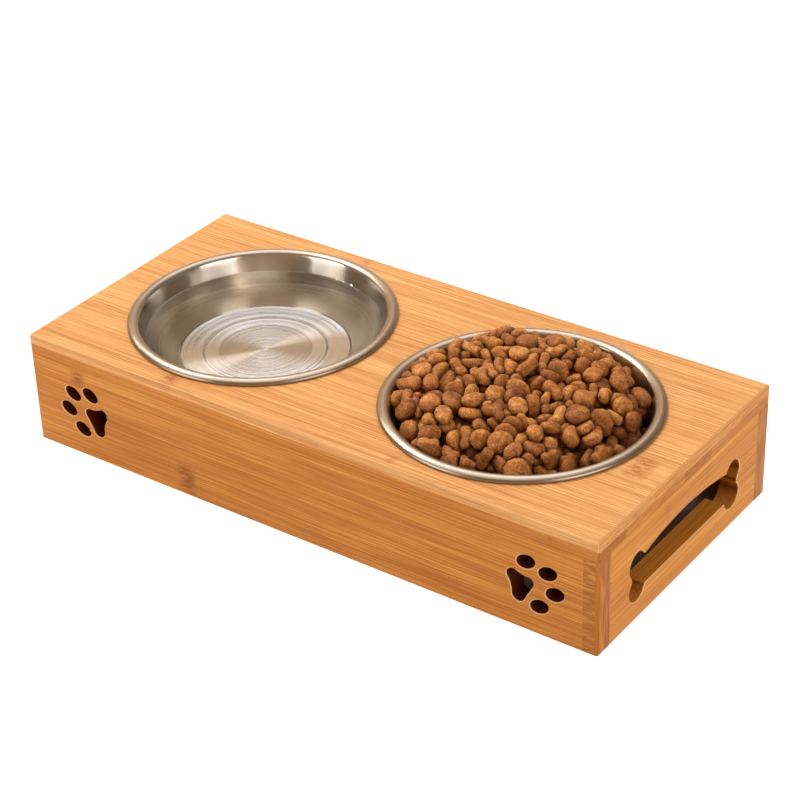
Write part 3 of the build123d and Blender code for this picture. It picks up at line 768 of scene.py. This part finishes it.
def bakedKibble(name):
    # Extruded and baked dog food: dry, rough and crumbly, orange-brown, no two pieces alike, with tiny dark
    # holes, and painted shade in the creases between the pieces. Real crumbs and holes are 0.3 to 0.5 mm
    # wide.
    # They are too fine to show, so they are drawn about 1 mm apart
    material = newMaterial(name)
    tree = material.node_tree
    place = addNode(tree, "ShaderNodeTexCoord").outputs["Object"]
    tone = addNode(tree, "ShaderNodeAttribute", attribute_name="tone").outputs["Fac"]
    crumbs = addNode(tree, "ShaderNodeTexNoise", {
        "Vector": place, "Scale": kibble["crumbs"], "Detail": 3.0, "Roughness": 0.7}).outputs["Fac"]
    patches = addNode(tree, "ShaderNodeTexNoise", {
        "Vector": place, "Scale": kibble["patches"], "Detail": 2.0}).outputs["Fac"]
    mixed = 0.5
    for pattern, weight in ((crumbs, 1.3), (patches, 0.8), (tone, 0.35)):
        shift = addNode(tree, "ShaderNodeMath", {0: pattern, 1: 0.5}, operation="SUBTRACT").outputs[0]
        mixed = addNode(tree, "ShaderNodeMath", {0: shift, 1: weight, 2: mixed},
            operation="MULTIPLY_ADD").outputs[0]
    colour = setRamp(addNode(tree, "ShaderNodeValToRGB", {0: mixed}), [
        (0.1, srgb(kibble["dark"])), (0.5, srgb(kibble["middle"])), (0.9, srgb(kibble["light"]))])
    # painted shade: darker where a point lies close to another piece
    shadeClearance = addNode(tree, "ShaderNodeAttribute", attribute_name="shadeClearance").outputs["Fac"]
    paintedShadeFade = addNode(tree, "ShaderNodeMapRange", {"Value": shadeClearance, "To Min": 0.85, "To Max": 0.0}).outputs[0]
    colour = addNode(tree, "ShaderNodeMix", {0: paintedShadeFade, 6: colour, 7: srgb(kibble["paintedShade"])},
                     data_type="RGBA").outputs[2]
    pits = addNode(tree, "ShaderNodeTexVoronoi", {
        "Vector": place, "Scale": kibble["pits"]}).outputs["Distance"]
    pitMask = setRamp(addNode(tree, "ShaderNodeValToRGB", {0: pits}), [(0.12, 0.7), (0.34, 0.0)])
    colour = addNode(tree, "ShaderNodeMix", {0: pitMask, 6: colour, 7: srgb(kibble["pit"])},
                     data_type="RGBA").outputs[2]
    relief = addNode(tree, "ShaderNodeMath", {0: pitMask, 1: -0.8, 2: crumbs},
        operation="MULTIPLY_ADD").outputs[0]
    relief = addNode(tree, "ShaderNodeMath", {0: patches, 1: 0.6, 2: relief},
        operation="MULTIPLY_ADD").outputs[0]
    bump = addNode(tree, "ShaderNodeBump", {
        "Height": relief, "Strength": 0.7, "Distance": 0.5 * mm}).outputs[0]
    shader = addNode(tree, "ShaderNodeBsdfPrincipled", {
        "Base Color": colour, "Roughness": 0.55, "Normal": bump, "Specular IOR Level": 0.3})
    addNode(tree, "ShaderNodeOutputMaterial", {"Surface": shader.outputs[0]})
    return material


heap = kibbleMesh("kibbleHeap")
heap.data.materials.append(bakedKibble("kibbleBaked"))
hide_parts("kibble")
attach(heap, "kibble")


# floor and studio lights
print("studio")
studio = {
    "floorHalf": 6.0, "floor": "#B4B2B0", "glow": 0.86,  # metres, colour, strength from below
    "unlit": (185, 83),  # mm from the middle in x and y: under the stand
    "white": "#FFFFFF", "tentBack": 0.85, "tentFront": 0.5,
    "roomBack": "#FFD8B0", "roomFront": "#B0967A", "roomLeft": "#9A866E", "roomRight": "#867F76",
    "back": (-0.6, 0.7, 0.4), "backFrom": 0.1, "backTo": 0.7,  # away from the camera, and how it fades in
    "aside": (0.766, 0.643, 0), "asideFrom": 0.25, "asideTo": 0.8,  # to the right of the camera's line
    # bright panel of the ceiling that steel mirrors: azimuth, elevation, where it starts and where it is
    # full, all in degrees, then its strength and colour
    "panel": (130, 63, 31, 14, 3.5, "#F2F5FF"),
    "aim": 0.06,  # metres above the floor that the lamps point at
    "lamps": {  # direction from the stand's middle in degrees, distance, width and height in metres, watts
        "rightBox": (-12, 22, 1.6, 1.05, 1.0, 8.0),
        "leftBox": (-120.5, 20, 1.15, 0.71, 0.72, 4.0),
        "overhead": (145, 62, 1.7, 0.5, 0.5, 12.0),
        "kicker": (168, 50, 1.8, 0.015, 0.4, 13.0),
        "spark": (168, 31, 1.8, 0.16, 0.2, 1.5),
    },
    "notMirrored": ["overhead"], "notThroughWater": ["overhead", "kicker", "spark"],
}
bpy.context.scene.view_settings.view_transform = "Standard"


def litSheet(name):
    # Matt white acrylic sheet, lit from below but for where the stand covers it: shadows on it wash out
    material = newMaterial(name)
    tree = material.node_tree
    place = addNode(tree, "ShaderNodeTexCoord").outputs["Object"]
    spot = addNode(tree, "ShaderNodeSeparateXYZ", {0: place}).outputs
    covered = 1.0
    for axis, reach in enumerate(studio["unlit"]):
        under = addNode(tree, "ShaderNodeMath", {0: spot[axis], 1: 0.0, 2: reach * mm},
                        operation="COMPARE").outputs[0]
        covered = addNode(tree, "ShaderNodeMath", {0: under, 1: covered}, operation="MULTIPLY").outputs[0]
    glow = addNode(tree, "ShaderNodeMath", {0: covered, 1: -studio["glow"], 2: studio["glow"]},
                   operation="MULTIPLY_ADD").outputs[0]
    shader = addNode(tree, "ShaderNodeBsdfPrincipled", {
        "Base Color": srgb(studio["floor"]), "Roughness": 0.9, "Specular IOR Level": 0.1,
        "Emission Color": srgb(studio["white"]), "Emission Strength": glow})
    addNode(tree, "ShaderNodeOutputMaterial", {"Surface": shader.outputs[0]})
    return material


h = studio["floorHalf"]
floorMesh = bpy.data.meshes.new("floorSweep")
floorMesh.from_pydata([(-h, -h, 0), (h, -h, 0), (h, h, 0), (-h, h, 0)], [], [(0, 1, 2, 3)])
floorMesh.materials.append(litSheet("acrylicWhiteLit"))
addObject("floorSweep", floorMesh)

# the paper tent is white and brighter at the back; what the polished steel mirrors is the warm room, dark
# behind the camera: share = (direction . towards the back - from) / (to - from)
world = bpy.data.worlds.new("studio")
bpy.context.scene.world = world
world.use_nodes = True
sky = world.node_tree
sky.nodes.clear()
rays = addNode(sky, "ShaderNodeLightPath").outputs
direction = addNode(sky, "ShaderNodeTexCoord").outputs["Generated"]
ahead = addNode(sky, "ShaderNodeVectorMath", {0: direction, 1: studio["back"]},
                operation="DOT_PRODUCT").outputs["Value"]
share = addNode(sky, "ShaderNodeMapRange", {
    "Value": ahead, "From Min": studio["backFrom"], "From Max": studio["backTo"]}).outputs[0]
power = addNode(sky, "ShaderNodeMapRange", {
    "Value": share, "To Min": studio["tentFront"], "To Max": studio["tentBack"]}).outputs[0]
tent = addNode(sky, "ShaderNodeBackground", {"Color": srgb(studio["white"]), "Strength": power})
walls = addNode(sky, "ShaderNodeMix", {0: share, 6: srgb(studio["roomFront"]), 7: srgb(studio["roomBack"])},
                data_type="RGBA").outputs[2]
# the room is darker again to the left and to the right of the camera's line
aside = addNode(sky, "ShaderNodeVectorMath", {0: direction, 1: studio["aside"]},
                operation="DOT_PRODUCT").outputs["Value"]
for side, shade in ((1, studio["roomRight"]), (-1, studio["roomLeft"])):
    amount = addNode(sky, "ShaderNodeMapRange", {
        "Value": aside, "From Min": side * studio["asideFrom"],
        "From Max": side * studio["asideTo"]}).outputs[0]
    walls = addNode(sky, "ShaderNodeMix", {0: amount, 6: walls, 7: srgb(shade)}, data_type="RGBA").outputs[2]
room = addNode(sky, "ShaderNodeBackground", {"Color": walls, "Strength": 1.0})
azimuth, elevation, start, full, strength, shade = studio["panel"]
a, e = radians(azimuth), radians(elevation)
near = addNode(sky, "ShaderNodeVectorMath", {0: direction, 1: (cos(e) * cos(a), cos(e) * sin(a), sin(e))},
               operation="DOT_PRODUCT").outputs["Value"]
amount = addNode(sky, "ShaderNodeMapRange", {
    "Value": near, "From Min": cos(radians(start)), "From Max": cos(radians(full))}).outputs[0]
panel = addNode(sky, "ShaderNodeBackground", {"Color": srgb(shade), "Strength": strength})
room = addNode(sky, "ShaderNodeMixShader", {0: amount, 1: room.outputs[0], 2: panel.outputs[0]})
# steel and water see the room, the camera sees plain white, and everything else is lit by the tent
mirrored = addNode(sky, "ShaderNodeMath", {0: rays["Is Glossy Ray"], 1: rays["Is Transmission Ray"]},
                   operation="MAXIMUM").outputs[0]
pale = addNode(sky, "ShaderNodeBackground", {"Color": srgb(studio["white"]), "Strength": 1.0})
lit = addNode(sky, "ShaderNodeMixShader", {0: mirrored, 1: tent.outputs[0], 2: room.outputs[0]})
seen = addNode(sky, "ShaderNodeMixShader", {0: rays["Is Camera Ray"], 1: lit.outputs[0], 2: pale.outputs[0]})
addNode(sky, "ShaderNodeOutputWorld", {"Surface": seen.outputs[0]})

for name, (azimuth, elevation, distance, width, height, watts) in studio["lamps"].items():
    lamp = addObject(name, bpy.data.lights.new(name, "AREA"))
    lamp.data.shape = "RECTANGLE"
    lamp.data.size, lamp.data.size_y = width, height
    lamp.data.energy = watts
    lamp.visible_glossy = name not in studio["notMirrored"]
    lamp.visible_transmission = name not in studio["notThroughWater"]
    a, e = radians(azimuth), radians(elevation)
    lamp.location = (distance * cos(e) * cos(a), distance * cos(e) * sin(a),
        distance * sin(e) + studio["aim"])
    lamp.rotation_euler = (pi / 2 - e, 0, a + pi / 2)

print("done")
